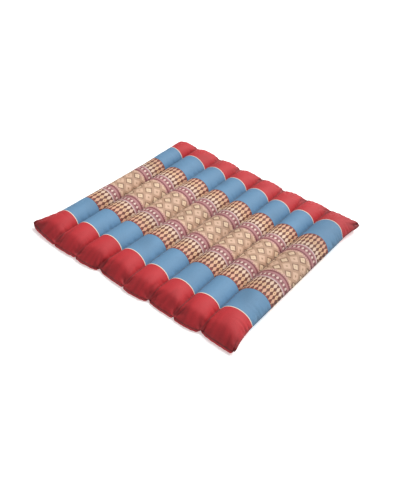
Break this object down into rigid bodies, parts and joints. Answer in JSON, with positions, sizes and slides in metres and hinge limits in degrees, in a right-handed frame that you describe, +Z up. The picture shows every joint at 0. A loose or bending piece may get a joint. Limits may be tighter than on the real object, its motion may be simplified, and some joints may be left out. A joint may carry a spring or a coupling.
{
  "type": "roll-up meditation cushion",
  "caption": "Flat floor cushion of woven cotton, sewn through into side-by-side stuffed tubes so that it rolls up.",
  "frame": {"origin": "middle of the cushion's footprint, on the floor", "axes": "+Z up from the floor, +Y along the tubes towards their far ends, +X across the tubes"},
  "size_m": [0.738, 0.7622, 0.0546],
  "materials": {
    "woven_cover": "matte woven cotton in red, blue, brown, mauve and tan bands"
  },
  "bodies": {
    "root": {"cushion": "woven_cover"}
  },
  "joints": []
}
